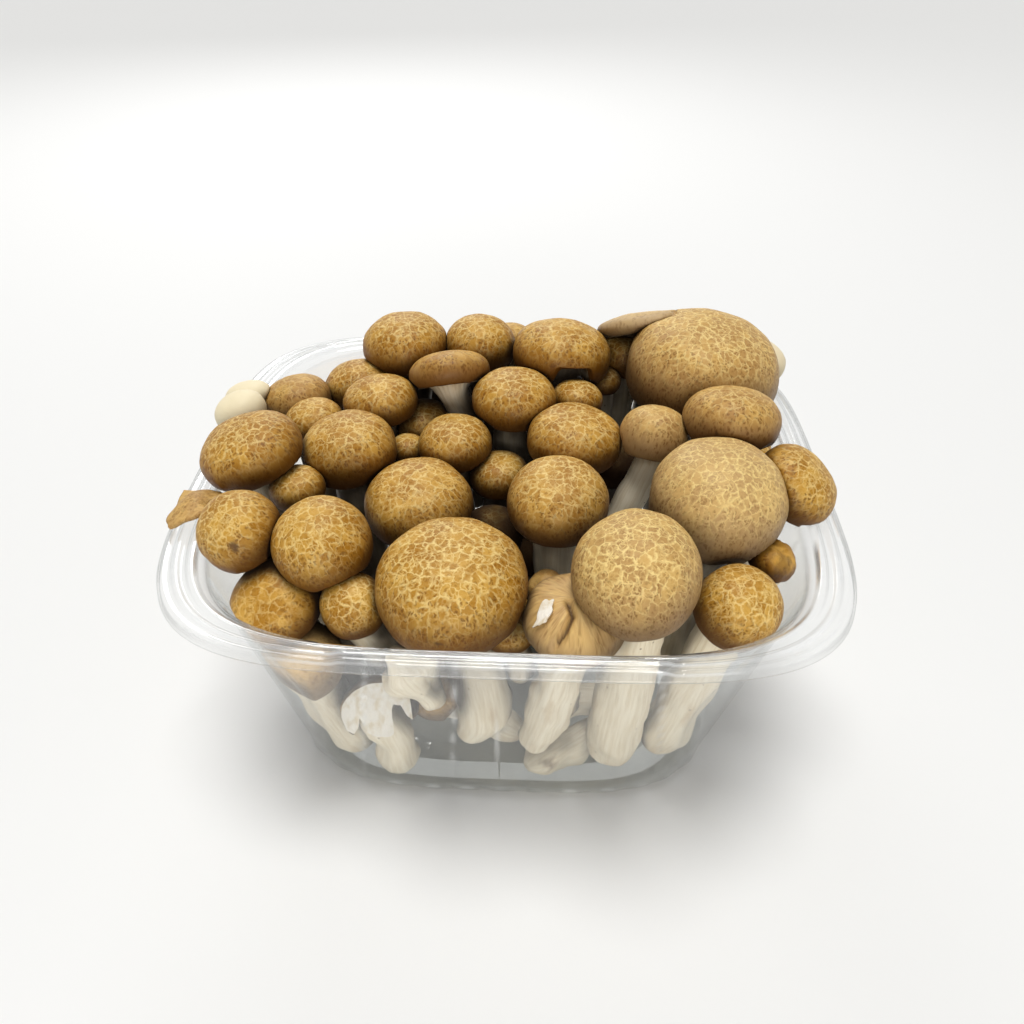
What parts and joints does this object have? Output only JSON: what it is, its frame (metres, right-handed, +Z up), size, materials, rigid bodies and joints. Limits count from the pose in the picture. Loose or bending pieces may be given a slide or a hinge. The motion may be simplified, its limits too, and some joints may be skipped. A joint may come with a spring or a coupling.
{
  "type": "punnet of beech mushrooms",
  "caption": "Brown beech mushrooms with net-patterned caps and cream stems, heaped in a clear thermoformed punnet with a rolled flange.",
  "frame": {"origin": "middle of the punnet's foot, on the surface it stands on", "axes": "+Z up, +X along the punnet's longer side, -Y towards the viewer of the picture"},
  "size_m": [0.15, 0.1354, 0.0874],
  "materials": {
    "clear_plastic": "clear and glossy, thin thermoformed sheet",
    "mushroom": "matt skin, brown with a pale net, cream on the stem",
    "pale_cap": "matt pale skin",
    "stem_flesh": "matt, finely fibrous"
  },
  "bodies": {
    "root": {"punnet": "clear_plastic", "back_left": "mushroom", "back_mid": "mushroom", "back_small": "mushroom", "back_split": "mushroom", "back_flat": "mushroom", "back_corner": "mushroom", "big_right": "mushroom", "right_low_dome": "mushroom", "right_pale": "mushroom", "right_front_big": "mushroom", "right_edge": "mushroom", "front_right": "mushroom", "front_dome": "mushroom", "centre": "mushroom", "centre_right": "mushroom", "centre_back": "mushroom", "small_back_right": "mushroom", "small_centre": "mushroom", "centre_left": "mushroom", "left_shaded": "mushroom", "left_cut_margin": "mushroom", "left_centre": "mushroom", "front_big": "mushroom", "left_mid": "mushroom", "left_back": "mushroom", "left_rear": "mushroom", "left_rear_edge": "mushroom", "left_rear_small": "mushroom", "left_edge_big": "mushroom", "left_small": "mushroom", "left_front_edge": "mushroom", "left_front": "mushroom", "left_corner": "mushroom", "left_corner_small": "mushroom", "left_low": "mushroom", "front_narrow": "mushroom", "front_torn": "mushroom", "front_cracked": "mushroom", "tiny_left": "mushroom", "shaded_back_right": "mushroom", "tiny_back_right": "mushroom", "halved": "mushroom", "low_brown": "mushroom", "right_torn_low": "mushroom", "hidden_back_left": "mushroom", "hidden_back_mid": "mushroom", "hidden_back": "mushroom", "hidden_back_right": "mushroom", "hidden_right": "mushroom", "hidden_centre": "mushroom", "hidden_middle": "mushroom", "hidden_right_middle": "mushroom", "left_cream": "pale_cap", "left_cream_back": "pale_cap", "torn_stem": "stem_flesh", "lying_stem": "stem_flesh", "clump_base": "stem_flesh", "torn_scrap": "pale_cap"}
  },
  "joints": []
}
